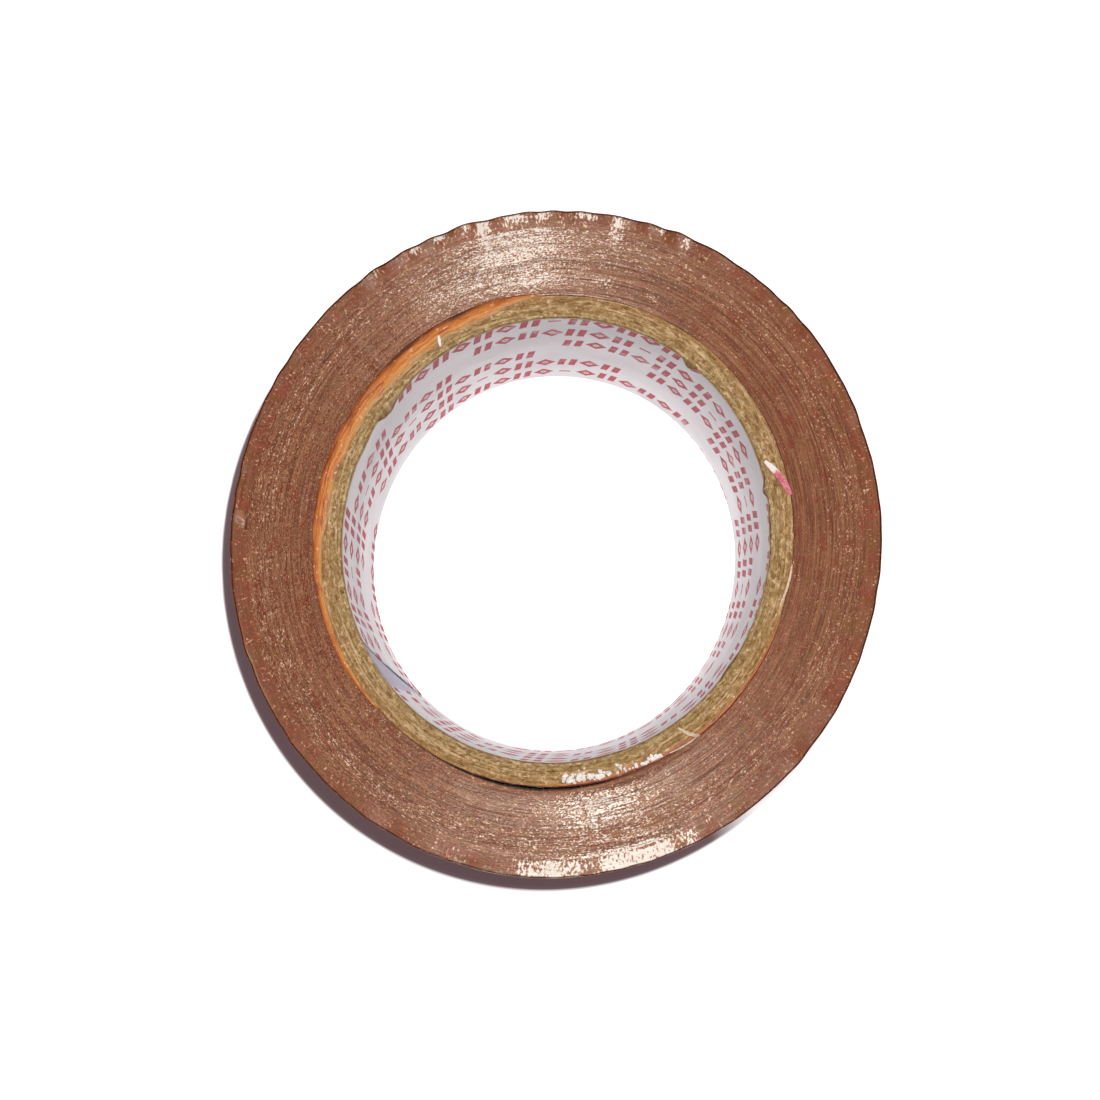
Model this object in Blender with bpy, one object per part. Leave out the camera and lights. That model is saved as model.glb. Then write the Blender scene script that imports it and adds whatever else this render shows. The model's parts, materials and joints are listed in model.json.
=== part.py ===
"""Roll of glossy brown film tape on a spiral-wound paper core, lying on its side.

Metres, +Z up along the roll's axis.  The origin is the centre of the bottom face, so the roll
stands on z = 0.  The core is a printed paper liner and six board plies, each a tube with its own
slanted butt seam.  The film is modelled as the banks of wraps that can be told apart, the last
wrap, and the free end in short lengths that are hinged to each other so that it peels and uncurls.
"""

import math

import bmesh
import bpy
from mathutils import Vector

MM = 0.001

# Driving dimensions
TAPE_WIDTH = 48.0 * MM          # film width, and the height of the roll as it lies
CORE_BORE_RADIUS = 38.1 * MM    # mean radius of a 3 inch paper core
LINER_THICKNESS = 0.3 * MM
PLY_THICKNESS = 0.6 * MM
PLY_COUNT = 6
GLUE_LINE = 0.05 * MM           # clearance between neighbouring plies
ROLL_RADIUS = 57.75 * MM        # mean outside radius

# The whole roll is slightly squashed: every ring bulges by SQUASH along SQUASH_AZIMUTH
SQUASH = 0.95 * MM
SQUASH_AZIMUTH = 75.0
FACETS = 90
FACET_ANGLE = 360.0 / FACETS

# Film
WRAP_GAP = 0.1 * MM             # clearance between banks of wraps
LAST_WRAP_THICKNESS = 0.3 * MM
BANK_OUTER_RADII = {
    "inner_bank": 45.6 * MM,
    "middle_bank": 52.0 * MM,
    "outer_bank": 54.8 * MM,
}

# Slack between the core and the winding: (centre azimuth, half width in degrees, depth)
SLACK_POCKETS = (
    (165.0, 85.0, 0.9 * MM),
    (264.0, 32.0, 0.65 * MM),
)
STARTER_WRAPS_SPAN = (112.0, 216.0)

# Free end of the film
PEEL_AZIMUTH = 116.0
END_LENGTHS = 5                 # hinged lengths between the peel line and the cut edge
END_LENGTH_ANGLE = 12.0
HINGE_GAP_ANGLE = 0.3           # degrees left open at each hinge, about 0.3 mm

# Seams of the plies, as distances along the wall to either side of the seam's own azimuth
SEAM_WIDTH = 0.5 * MM
SEAM_RUN = 12.0 * MM            # how far a seam travels round the core from top to bottom
LINER_SEAM_AZIMUTH = 217.0
LINER_GAP_TOP = 9.3 * MM        # the liner's seam stands open in a wedge
LINER_GAP_BOTTOM = 0.7 * MM
PLY_SEAM_STEP = 137.5           # degrees from one ply's seam to the next

CORE_RADIUS = CORE_BORE_RADIUS + LINER_THICKNESS + PLY_COUNT * (PLY_THICKNESS + GLUE_LINE)

# Colours (linear), roughness
BOARD = ((0.33, 0.22, 0.10), 0.9)
PAPER = ((0.50, 0.48, 0.48), 0.7)
FILM_BROWN = ((0.26, 0.11, 0.06), 0.3)
FILM_RED = ((0.21, 0.07, 0.04), 0.25)
FILM_AMBER = ((0.52, 0.20, 0.06), 0.3)


def clear_scene():
    for item in list(bpy.data.objects):
        bpy.data.objects.remove(item, do_unlink=True)


def make_material(name, look):
    colour, roughness = look
    material = bpy.data.materials.new(name)
    material.use_nodes = True
    shader = material.node_tree.nodes["Principled BSDF"]
    shader.inputs["Base Color"].default_value = (*colour, 1.0)
    shader.inputs["Roughness"].default_value = roughness
    shader.inputs["Metallic"].default_value = 0.0
    return material


def ring_point(radius, azimuth, height=0.0):
    """A point on a squashed ring of mean radius `radius`."""
    angle = math.radians(azimuth)
    squashed = radius + SQUASH * math.cos(2.0 * (angle - math.radians(SQUASH_AZIMUTH)))
    return Vector((squashed * math.cos(angle), squashed * math.sin(angle), height))


def pocket_depth(azimuth):
    """How far the winding stands off the core at this azimuth."""
    depth = 0.0
    for centre, half_width, deepest in SLACK_POCKETS:
        offset = abs((azimuth - centre + 180.0) % 360.0 - 180.0)
        if offset < half_width:
            depth += deepest * math.cos(0.5 * math.pi * offset / half_width) ** 2
    return depth


def winding_bore(azimuth):
    return CORE_RADIUS + WRAP_GAP + pocket_depth(azimuth)


def lift(shape, geometry, distance):
    """Move the vertices that an extrusion has just made."""
    vertices = [item for item in geometry if isinstance(item, bmesh.types.BMVert)]
    bmesh.ops.translate(shape, verts=vertices, vec=distance)


def add_object(name, shape):
    bmesh.ops.recalc_face_normals(shape, faces=shape.faces)
    mesh = bpy.data.meshes.new(name)
    shape.to_mesh(mesh)
    shape.free()
    item = bpy.data.objects.new(name, mesh)
    bpy.context.scene.collection.objects.link(item)
    return item


def finish_object(name, shape, look, origin=None):
    """Make the object, with its origin where it belongs, smooth shading and its own material."""
    if origin is not None:
        bmesh.ops.translate(shape, verts=shape.verts, vec=-origin)
    item = add_object(name, shape)
    item.data.shade_smooth()
    item.data.set_sharp_from_angle(angle=math.radians(30.0))
    item.data.materials.append(make_material(name, look))
    if origin is not None:
        item.location = origin
    return item


def band_azimuths(span, end_gap):
    """Every facet corner from one end of the span to the other, drawn in by half a gap at each end."""
    start, stop = span
    count = round((stop - start) / FACET_ANGLE)
    azimuths = [start + FACET_ANGLE * i for i in range(count + 1)]
    azimuths[0] += end_gap / 2.0
    azimuths[-1] -= end_gap / 2.0
    return azimuths


def make_band(name, inner, outer, look, span=None, end_gap=0.0, origin=None):
    """A wall between the radii inner(azimuth) and outer(azimuth), all the way round or over a span.

    The bottom face is bridged between its two edge chains and extruded to the tape's width.
    """
    closed = span is None
    azimuths = band_azimuths((0.0, 360.0), 0.0)[:-1] if closed else band_azimuths(span, end_gap)

    shape = bmesh.new()
    edges = []
    for radius in (inner, outer):
        points = [shape.verts.new(ring_point(radius(azimuth), azimuth)) for azimuth in azimuths]
        pairs = zip(points, points[1:] + points[:1]) if closed else zip(points, points[1:])
        edges += [shape.edges.new(pair) for pair in pairs]
    bottom = bmesh.ops.bridge_loops(shape, edges=edges)["faces"]
    top = bmesh.ops.extrude_face_region(shape, geom=bottom)["geom"]
    lift(shape, top, Vector((0.0, 0.0, TAPE_WIDTH)))
    return finish_object(name, shape, look, origin)


def make_seam_cutter(name, azimuth, radius, gap_top, gap_bottom):
    """A wedge through one wall of the core, slanted so that the seam follows the core's spiral."""
    overshoot = 2.0 * MM
    depth = 6.0 * MM
    low, high = -overshoot, TAPE_WIDTH + overshoot

    def left(height):
        return SEAM_RUN * (0.5 - height / TAPE_WIDTH) - gap_bottom / 2.0

    def gap(height):
        return gap_bottom + (gap_top - gap_bottom) * height / TAPE_WIDTH

    outline = [
        (left(low), low),
        (left(low) + gap(low), low),
        (left(high) + gap(high), high),
        (left(high), high),
    ]

    angle = math.radians(azimuth)
    outward = Vector((math.cos(angle), math.sin(angle), 0.0))
    along = Vector((-math.sin(angle), math.cos(angle), 0.0))
    shape = bmesh.new()
    near = [
        shape.verts.new(outward * (radius - depth) + along * t + Vector((0.0, 0.0, z)))
        for t, z in outline
    ]
    face = shape.faces.new(near)
    far = bmesh.ops.extrude_face_region(shape, geom=[face])["geom"]
    lift(shape, far, outward * 2.0 * depth)
    cutter = add_object(name, shape)
    cutter.hide_render = True
    cutter.display_type = "WIRE"
    return cutter


def cut_seam(ply, cutter):
    boolean = ply.modifiers.new("seam", "BOOLEAN")
    boolean.operation = "DIFFERENCE"
    boolean.solver = "EXACT"
    boolean.object = cutter


def make_core():
    """The printed liner and the board plies, from the bore outwards."""
    liner_outer = CORE_BORE_RADIUS + LINER_THICKNESS
    liner = make_band("core_liner", lambda azimuth: CORE_BORE_RADIUS, lambda azimuth: liner_outer, PAPER)
    cutter = make_seam_cutter(
        "liner_seam", LINER_SEAM_AZIMUTH, CORE_BORE_RADIUS, LINER_GAP_TOP, LINER_GAP_BOTTOM
    )
    cut_seam(liner, cutter)

    for number in range(1, PLY_COUNT + 1):
        inner = liner_outer + number * GLUE_LINE + (number - 1) * PLY_THICKNESS
        outer = inner + PLY_THICKNESS
        ply = make_band(
            f"core_ply_{number}", lambda azimuth, r=inner: r, lambda azimuth, r=outer: r, BOARD
        )
        azimuth = (LINER_SEAM_AZIMUTH + PLY_SEAM_STEP * number) % 360.0
        cutter = make_seam_cutter(f"ply_seam_{number}", azimuth, inner, SEAM_WIDTH, SEAM_WIDTH)
        cut_seam(ply, cutter)


def make_winding():
    """The loose first wraps, the banks of the winding, the loose outer wraps and the last wrap."""
    make_band(
        "starter_wraps",
        lambda azimuth: CORE_RADIUS + GLUE_LINE,
        lambda azimuth: winding_bore(azimuth) - GLUE_LINE,
        FILM_AMBER,
        span=STARTER_WRAPS_SPAN,
    )
    inner = winding_bore
    for name, radius in BANK_OUTER_RADII.items():
        make_band(name, inner, lambda azimuth, r=radius: r, FILM_BROWN)
        inner = lambda azimuth, r=radius + WRAP_GAP: r

    last_inner = ROLL_RADIUS - LAST_WRAP_THICKNESS
    make_band("loose_wraps", inner, lambda azimuth: last_inner - WRAP_GAP, FILM_RED)

    end_azimuth = PEEL_AZIMUTH + END_LENGTHS * END_LENGTH_ANGLE
    make_film_length("last_wrap", end_azimuth, PEEL_AZIMUTH + 360.0)


def make_film_length(name, start, stop, origin=None):
    """One length of the outermost wrap, held back from both of its ends by half a hinge gap."""
    return make_band(
        name,
        lambda azimuth: ROLL_RADIUS - LAST_WRAP_THICKNESS,
        lambda azimuth: ROLL_RADIUS,
        FILM_RED,
        span=(start, stop),
        end_gap=HINGE_GAP_ANGLE,
        origin=origin,
    )


def make_free_end():
    """The hinged lengths of the free end; each one's origin is on the line that it folds about."""
    parent = None
    for number in range(1, END_LENGTHS + 1):
        start = PEEL_AZIMUTH + (number - 1) * END_LENGTH_ANGLE
        hinge = ring_point(ROLL_RADIUS - LAST_WRAP_THICKNESS / 2.0, start)
        length = make_film_length(f"film_end_{number}", start, start + END_LENGTH_ANGLE, hinge)
        if parent is not None:
            length.parent = parent
            length.location = hinge - parent_hinge
        parent, parent_hinge = length, hinge


def main():
    clear_scene()
    make_core()
    make_winding()
    make_free_end()


main()
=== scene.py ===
"""A roll of glossy brown film tape on a printed paper core, seen from above on a pale floor.

Lengths are in metres.  The roll's axis is Z, and azimuths are degrees from +X towards +Y.  Every
ring of the roll is slightly squashed, so a radius here is a mean radius, which ring_xy() turns
into a place.
"""

import json
import math

import bpy
import numpy as np
from mathutils import Euler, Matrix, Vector

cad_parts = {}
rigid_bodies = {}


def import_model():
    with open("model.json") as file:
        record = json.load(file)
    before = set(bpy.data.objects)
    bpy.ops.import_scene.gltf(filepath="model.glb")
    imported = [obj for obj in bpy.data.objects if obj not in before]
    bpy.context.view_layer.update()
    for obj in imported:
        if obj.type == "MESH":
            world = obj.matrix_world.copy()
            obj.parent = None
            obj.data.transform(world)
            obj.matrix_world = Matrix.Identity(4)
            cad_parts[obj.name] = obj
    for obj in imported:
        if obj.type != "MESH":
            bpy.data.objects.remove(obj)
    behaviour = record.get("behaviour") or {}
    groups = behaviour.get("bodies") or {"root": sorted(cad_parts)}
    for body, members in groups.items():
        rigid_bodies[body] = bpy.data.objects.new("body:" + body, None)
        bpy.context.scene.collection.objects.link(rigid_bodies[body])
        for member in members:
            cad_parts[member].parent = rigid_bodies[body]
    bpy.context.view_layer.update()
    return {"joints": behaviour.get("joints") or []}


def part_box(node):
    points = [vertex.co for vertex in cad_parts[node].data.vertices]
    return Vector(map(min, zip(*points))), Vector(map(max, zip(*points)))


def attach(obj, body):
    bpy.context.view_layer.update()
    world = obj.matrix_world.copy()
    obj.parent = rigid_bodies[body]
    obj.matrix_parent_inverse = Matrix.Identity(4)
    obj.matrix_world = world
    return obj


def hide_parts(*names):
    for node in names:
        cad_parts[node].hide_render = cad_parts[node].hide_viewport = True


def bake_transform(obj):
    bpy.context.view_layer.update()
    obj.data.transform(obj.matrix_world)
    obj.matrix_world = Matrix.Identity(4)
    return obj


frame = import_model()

MM = 0.001
TAU = 2.0 * math.pi

# ---------------------------------------------------------------- sizes read from the frame


def node_radius(node):
    """Mean outer radius of a CAD ring."""
    low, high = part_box(node)
    return (high[0] - low[0] + high[1] - low[1]) / 4.0


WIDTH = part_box("last_wrap")[1][2]
ROLL_RADIUS = node_radius("last_wrap")
CORE_RADIUS = node_radius("core_ply_6")
PLY_RADII = [node_radius(f"core_ply_{number}") for number in range(1, 7)]
BANK_RADII = {name: node_radius(f"{name}_bank") for name in ("inner", "middle", "outer")}
LOOSE_RADIUS = node_radius("loose_wraps")

# The ring bulges by SQUASH along SQUASH_AZIMUTH; the box of a ring shows cos(30 deg) of it
SQUASH_AZIMUTH = 75.0
low_corner, high_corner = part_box("last_wrap")
longer_in_y = high_corner[1] - low_corner[1] - high_corner[0] + low_corner[0]
SQUASH = longer_in_y / 4.0 / math.cos(math.radians(30.0))

LINER_THICKNESS = 0.3 * MM
PLY_THICKNESS = 0.6 * MM
GLUE_LINE = 0.05 * MM
BORE_RADIUS = PLY_RADII[0] - PLY_THICKNESS - LINER_THICKNESS - GLUE_LINE
WRAP_GAP = 0.1 * MM
BANK_GAP = 0.03 * MM            # between the visible banks, which stand a little closer

# Slack between core and winding, as in the CAD: (centre azimuth, half width in degrees, depth)
SLACK_POCKETS = (
    (165.0, 85.0, 0.9 * MM),
    (264.0, 32.0, 0.65 * MM),
)

# The free end: hinge azimuths come from the record's joints
HINGES = [
    (joint["parent"], joint["child"], math.degrees(math.atan2(joint["pos_m"][1], joint["pos_m"][0])))
    for joint in frame["joints"]
]
PEEL_AZIMUTH = HINGES[0][2]
END_STEP = HINGES[1][2] - HINGES[0][2]
END_AZIMUTH = PEEL_AZIMUTH + END_STEP * len(HINGES)

rng = np.random.default_rng(41)

# ---------------------------------------------------------------- shapes


def ring_xy(radius, azimuth):
    """X and Y of mean radii at azimuths in radians, on the squashed rings; takes arrays."""
    place = radius + SQUASH * np.cos(2.0 * (azimuth - math.radians(SQUASH_AZIMUTH)))
    return place * np.cos(azimuth), place * np.sin(azimuth)


def ring_point(radius, azimuth_degrees, height):
    x, y = ring_xy(radius, math.radians(azimuth_degrees))
    return Vector((float(x), float(y), height))


def bump_at(azimuth, centre, half_width):
    """1 at the centre azimuth, falling smoothly to 0 at half_width degrees either side."""
    offset = np.abs((np.degrees(azimuth) - centre + 180.0) % 360.0 - 180.0)
    return np.where(offset < half_width, np.cos(0.5 * math.pi * offset / half_width) ** 2, 0.0)


def between(value, low, high):
    """How far the value has come from low to high, from 0 to 1."""
    return np.clip((value - low) / (high - low), 0.0, 1.0)


def winding_bore(azimuth):
    depth = sum(deepest * bump_at(azimuth, centre, half) for centre, half, deepest in SLACK_POCKETS)
    return CORE_RADIUS + WRAP_GAP + depth


def wavy(azimuth, lowest, highest, fade=0.0):
    """A smooth random curve that closes on itself round the roll, between -1 and 1."""
    total = np.zeros_like(azimuth)
    for harmonic in range(lowest, highest + 1):
        total += rng.normal() * np.sin(harmonic * azimuth + rng.uniform(0.0, TAU)) / harmonic ** fade
    return total / np.abs(total).max()


def layered(rings, azimuth, highest, fade, spread):
    """One random curve per ring, alike over about `spread` neighbours, with unit deviation."""
    harmonics = np.arange(0, highest + 1)
    shape = (rings, len(harmonics))
    weights = (rng.normal(size=shape) + 1j * rng.normal(size=shape)) / (1.0 + harmonics) ** fade
    if spread > 0:
        reach = np.arange(-3 * spread, 3 * spread + 1)
        kernel = np.exp(-0.5 * (reach / spread) ** 2)
        mode = "reflect" if rings > len(reach) else "wrap"
        padded = np.pad(weights, ((len(reach) // 2,) * 2, (0, 0)), mode=mode)
        weights = sum(kernel[i] * padded[i:i + rings] for i in range(len(reach)))
    field = np.real(weights @ np.exp(1j * np.outer(harmonics, azimuth)))
    return (field - field.mean()) / field.std()


def plain(rows):
    """The rows of an array, or of a list of vectors, as plain lists."""
    return rows.tolist() if hasattr(rows, "tolist") else [list(row) for row in rows]


def add_object(name, data):
    item = bpy.data.objects.new(name, data)
    bpy.context.scene.collection.objects.link(item)
    return item


def mesh_object(name, points, faces, attributes=None, smooth_angle=40.0):
    """A mesh object from its points and faces, with attributes that have a value for each point."""
    mesh = bpy.data.meshes.new(name)
    mesh.from_pydata(plain(points), [], plain(faces))
    for key, values in (attributes or {}).items():
        flat = np.asarray(values, np.float32)
        kind = "FLOAT" if flat.ndim == 1 else "FLOAT_VECTOR"
        layer = mesh.attributes.new(key, kind, "POINT")
        layer.data.foreach_set("value" if kind == "FLOAT" else "vector", flat.ravel())
    mesh.validate()
    mesh.shade_smooth()
    mesh.set_sharp_from_angle(angle=math.radians(smooth_angle))
    return add_object(name, mesh)


def tube_faces(around, along, closed):
    """Quads of a grid that closes round its section, and also end to end if `closed`."""
    i = np.arange(around)
    j = np.arange(along if closed else along - 1)
    ii, jj = np.meshgrid(i, j, indexing="ij")
    nexti, nextj = (ii + 1) % around, (jj + 1) % along
    quads = (ii * along + jj, nexti * along + jj, nexti * along + nextj, ii * along + nextj)
    return np.stack(quads, -1).reshape(-1, 4)


def section_loop(face_steps, back_steps, wall_steps):
    """(across, up) shares round a section: underside outwards, outer wall, top inwards, inner wall."""
    under = [(t, 0.0) for t in np.linspace(0.0, 1.0, back_steps + 1)[:-1]]
    outer = [(1.0, s) for s in np.linspace(0.0, 1.0, wall_steps + 1)[:-1]]
    top = [(t, 1.0) for t in np.linspace(1.0, 0.0, face_steps + 1)[:-1]]
    inner = [(0.0, s) for s in np.linspace(1.0, 0.0, wall_steps + 1)[:-1]]
    return np.array(under + outer + top + inner)


def at(radius, turn):
    """A radius at azimuths in radians, whether it is one number or a function of azimuth."""
    return radius(turn) if callable(radius) else radius + 0.0 * turn


def ring_solid(name, inner, outer, face_steps, azimuth, tones, closed=True, back_steps=8,
               wall_steps=3, face_relief=None, wall_shift=None, low=0.0, high=WIDTH):
    """A ring, or an arc of one, between two radii.

    face_relief(across, azimuth) lowers or lifts the top face, and the underside the other way;
    wall_shift(across, up, azimuth) moves points outwards; tones(across, up, azimuth) gives the
    attributes by name.  All take 2-D arrays.
    """
    section = section_loop(face_steps, back_steps, wall_steps)
    across, turn = np.meshgrid(section[:, 0], azimuth, indexing="ij")
    up = np.repeat(section[:, 1:2], len(azimuth), axis=1)
    radius = at(inner, turn) + across * (at(outer, turn) - at(inner, turn))
    height = low + up * (high - low)
    if wall_shift is not None:
        radius = radius + wall_shift(across, up, turn)
    if face_relief is not None:
        relief = face_relief(across, turn)
        height = height + np.where(up > 0.999, relief, 0.0) - np.where(up < 0.001, relief, 0.0)
        height = np.maximum(height, low)
    x, y = ring_xy(radius, turn)
    points = np.stack([x, y, height], -1).reshape(-1, 3)
    along = len(azimuth)
    faces = tube_faces(len(section), along, closed)[:, ::-1].tolist()
    if not closed:
        start = [i * along for i in range(len(section))]
        faces += [start, [index + along - 1 for index in reversed(start)]]
    # Texture places in millimetres: round the roll, and outwards on the faces or up the walls
    circle = 50.0 * np.cos(turn), 50.0 * np.sin(turn)
    places = {
        "face_place": np.stack([*circle, radius / MM], -1).reshape(-1, 3),
        "wall_place": np.stack([*circle, height / MM], -1).reshape(-1, 3),
    }
    for key, values in tones(across, up, turn).items():
        places[key] = (values + 0.0 * across).reshape(-1)
    return mesh_object(name, points, faces, places)


# The key light, beside the camera, and the round shadow that it throws on the floor
KEY_PLACE = Vector((0.0074, -0.0112, 0.303))
KEY_SPREAD = KEY_PLACE.z / (KEY_PLACE.z - WIDTH)
SHADOW_CENTRE = (KEY_PLACE.x * (1.0 - KEY_SPREAD), KEY_PLACE.y * (1.0 - KEY_SPREAD), 0.0)
SHADOW_RADIUS = ROLL_RADIUS * KEY_SPREAD
SHADOW_SIDE = (math.cos(math.radians(227.0)), math.sin(math.radians(227.0)), 0.0)

# ---------------------------------------------------------------- materials


def linear(red, green, blue):
    """Linear RGBA of a colour given as the usual 0-255 screen values."""
    def channel(value):
        value /= 255.0
        return value / 12.92 if value <= 0.04045 else ((value + 0.055) / 1.055) ** 2.4
    return (channel(red), channel(green), channel(blue), 1.0)


def math_node(operation):
    """A method that adds a math node, with the value itself as its first input."""
    return lambda value, *others: value.look.math(operation, value, *others)


class Value:
    """One output of a node; arithmetic with it adds math nodes."""

    __add__ = math_node("ADD")
    __sub__ = math_node("SUBTRACT")
    __mul__ = math_node("MULTIPLY")
    __truediv__ = math_node("DIVIDE")
    __mod__ = math_node("FLOORED_MODULO")
    __abs__ = math_node("ABSOLUTE")
    floor = math_node("FLOOR")
    below = math_node("LESS_THAN")
    near = math_node("COMPARE")

    def __init__(self, look, socket):
        self.look, self.socket = look, socket

    def __rsub__(self, other):
        return self.look.math("SUBTRACT", other, self)


class Look:
    """A material and short ways to add the nodes it needs; a colour is three screen values.

    Its textures are placed by the vector attribute `place`, or else by object coordinates.
    """

    def __init__(self, name, place=None, **values):
        self.material = bpy.data.materials.new(name)
        self.material.use_nodes = True
        self.tree = self.material.node_tree
        self.shader = self.tree.nodes["Principled BSDF"]
        self.place = self.attribute(place, "Vector") if place else self.add("TexCoord", "Object")
        self.set(**values)

    def set(self, **values):
        """Give the shader's sockets numbers, colours or outputs of nodes."""
        for socket, value in values.items():
            self.feed(self.shader.inputs[socket.replace("_", " ")], value)

    def feed(self, socket, value):
        if isinstance(value, Value):
            self.tree.links.new(value.socket, socket)
        elif socket.type == "RGBA":
            socket.default_value = linear(*value)
        else:
            socket.default_value = value

    def add(self, kind, output=0, inputs=None, **settings):
        """One output of a new node, whose sockets and settings are given."""
        item = self.tree.nodes.new(f"ShaderNode{kind}")
        for key, value in settings.items():
            setattr(item, key, value)
        for socket, value in (inputs or {}).items():
            self.feed(item.inputs[socket], value)
        return Value(self, item.outputs[output])

    def attribute(self, name, output="Fac"):
        return self.add("Attribute", output, attribute_name=name)

    def noise(self, scale, detail=2.0, roughness=0.5, distortion=0.0):
        place = self.add("Mapping", "Vector", {"Vector": self.place, "Scale": scale})
        return self.add("TexNoise", "Fac", {"Vector": place, "Scale": 1.0, "Detail": detail,
                                            "Roughness": roughness, "Distortion": distortion})

    def ramp(self, value, *stops):
        """A colour ramp; each stop is (position, grey) or (position, colour)."""
        result = self.add("ValToRGB", "Color", {"Fac": value})
        ramp = result.socket.node.color_ramp
        while len(ramp.elements) < len(stops):
            ramp.elements.new(0.5)
        for element, (position, colour) in zip(ramp.elements, stops):
            element.position = position
            element.color = linear(*colour) if isinstance(colour, tuple) else (colour, colour, colour, 1.0)
        return result

    def math(self, operation, *values):
        return self.add("Math", "Value", dict(enumerate(values)), operation=operation)

    def mix(self, factor, first, second):
        return self.add("Mix", 2, {0: factor, 6: first, 7: second}, data_type="RGBA")

    def over(self, base, value, start, stop, colour):
        """The base, covered by a colour as far as a ramp of the value from start to stop says."""
        return self.mix(self.ramp(value, start, stop), base, colour)

    def bump(self, height, distance, strength, below=None):
        inputs = {"Height": height, "Distance": distance, "Strength": strength}
        if below is not None:
            inputs["Normal"] = below
        return self.add("Bump", "Normal", inputs)

    def separate(self, vector):
        node = self.add("SeparateXYZ", "X", {"Vector": vector}).socket.node
        return [Value(self, socket) for socket in node.outputs]


def cut_edges(look, pale, dark):
    """Colour of the stacked edges of wound film: fine turns, and blotches redder or darker."""
    turns = look.noise((0.04, 0.04, 2.2), detail=4.0, roughness=0.7)
    base = look.over(dark, turns, (0.40, 0.0), (0.58, 1.0), pale)
    streaks = look.noise((0.10, 0.10, 5.0), roughness=0.55)
    base = look.over(base, streaks, (0.34, 0.45), (0.43, 0.0), (84, 40, 26))
    base = look.over(base, streaks, (0.58, 0.0), (0.68, 0.45), (176, 122, 84))
    blotch = look.noise((0.30, 0.30, 0.75), detail=3.0, roughness=0.55)
    base = look.over(base, blotch, (0.50, 0.0), (0.66, 0.70), (126, 54, 32))
    base = look.over(base, blotch, (0.34, 0.55), (0.46, 0.0), (130, 88, 46))
    specks = look.noise((2.2, 2.2, 5.2), roughness=0.6)
    grit = look.attribute("grit")
    hollows = look.ramp(specks, (0.36, 0.70), (0.49, 0.0)) * grit
    crests = look.ramp(specks, (0.52, 0.0), (0.64, 0.65)) * grit
    return look.mix(crests, look.mix(hollows, base, (78, 34, 18)), (180, 124, 86))


def flecked(look, base, size):
    """Cut edges whitened by the knife, as single flecks; and painted sheen that whitens most of the face
    where the share of flecks and sheen is near 1.
    """
    grain = look.noise(size, roughness=0.6)
    cluster = look.noise((0.7, 0.7, 2.0), detail=3.0, roughness=0.6)
    fleck = look.attribute("fleck")
    height = (grain - 0.5) * 2.0 + (cluster - 0.5) * 0.9 + fleck * 0.52
    base = look.over(base, height, (0.21, 0.0), (0.36, 0.80), (190, 136, 98))
    # Painted sheen: the flecks turn whiter where they crowd into the fans of light
    white = look.over((232, 198, 164), fleck, (0.16, 0.0), (0.42, 1.0), (240, 231, 218))
    return look.over(base, height, (0.36, 0.0), (0.52, 1.0), white), grain


def dips_and_shade(look):
    """Turns that lie a little lower than their neighbours, drawn only as thin lines round the roll:
    rougher there, and darkened with painted shade where wound_film uses them.
    """
    return look.ramp(look.noise((0.09, 0.09, 4.6), detail=1.0), (0.34, 1.0), (0.45, 0.0))


def brushed(look, base, grain, roughest, smoothest):
    """Gloss of cut edges: smooth round the roll, rough across it, and broken up grain by grain."""
    gloss = look.ramp(grain, (0.44, roughest), (0.54, smoothest))
    worn = look.attribute("dull") * 0.16 + dips_and_shade(look) * 0.22
    ridges = look.noise((0.03, 0.03, 4.0), detail=1.5, roughness=0.6)
    normal = look.bump(ridges, 0.07 * MM, 1.0, look.bump(grain, 0.007 * MM, 1.0))
    tangent = look.add("Tangent", direction_type="RADIAL", axis="Z")
    look.set(Base_Color=base, Roughness=gloss + worn, Normal=normal, Tangent=tangent)


CUT_EDGE_GLOSS = {
    "Anisotropic": 1.0,
    "Anisotropic_Rotation": 0.25,
    "Specular_IOR_Level": 0.32,
    "Specular_Tint": (255, 244, 228),
}


def wound_film(name, pale, dark):
    """Tightly wound film seen on its cut edges, which gather light into two fans, where painted sheen also
    whitens the flecks.
    """
    look = Look(name, "face_place", **CUT_EDGE_GLOSS)
    base, grain = flecked(look, cut_edges(look, pale, dark), (2.4, 2.4, 4.4))
    # Painted shade along the lower turns
    base = look.mix(dips_and_shade(look) * 0.6, base, (98, 52, 36))
    # Painted shade in the concentric grooves
    base = look.mix(look.attribute("line"), base, (76, 32, 20))
    brushed(look, base, grain, 0.38, 0.235)
    return look.material


def loose_film(name):
    """The loose outer turns, smoother and redder, with painted highlights where their edges are pulled up
    and along a raised crease.
    """
    look = Look(name, "face_place", **CUT_EDGE_GLOSS)
    base = cut_edges(look, (141, 84, 58), (120, 66, 44))
    tint = look.noise((1.0, 1.0, 0.06))
    base = look.over(base, tint, (0.52, 0.0), (0.66, 0.5), (148, 70, 50))
    base = look.over(base, tint, (0.34, 0.5), (0.46, 0.0), (126, 80, 40))
    base, grain = flecked(look, base, (2.8, 2.8, 1.5))
    # Painted shade along the rims, and in the slit
    base = look.mix(look.attribute("line"), base, (80, 36, 28))
    # Painted highlights on the raised crease, and on the rim at the lower left
    base = look.mix(look.attribute("crease"), base, (182, 134, 108))
    brushed(look, base, grain, 0.37, 0.24)
    return look.material


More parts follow.
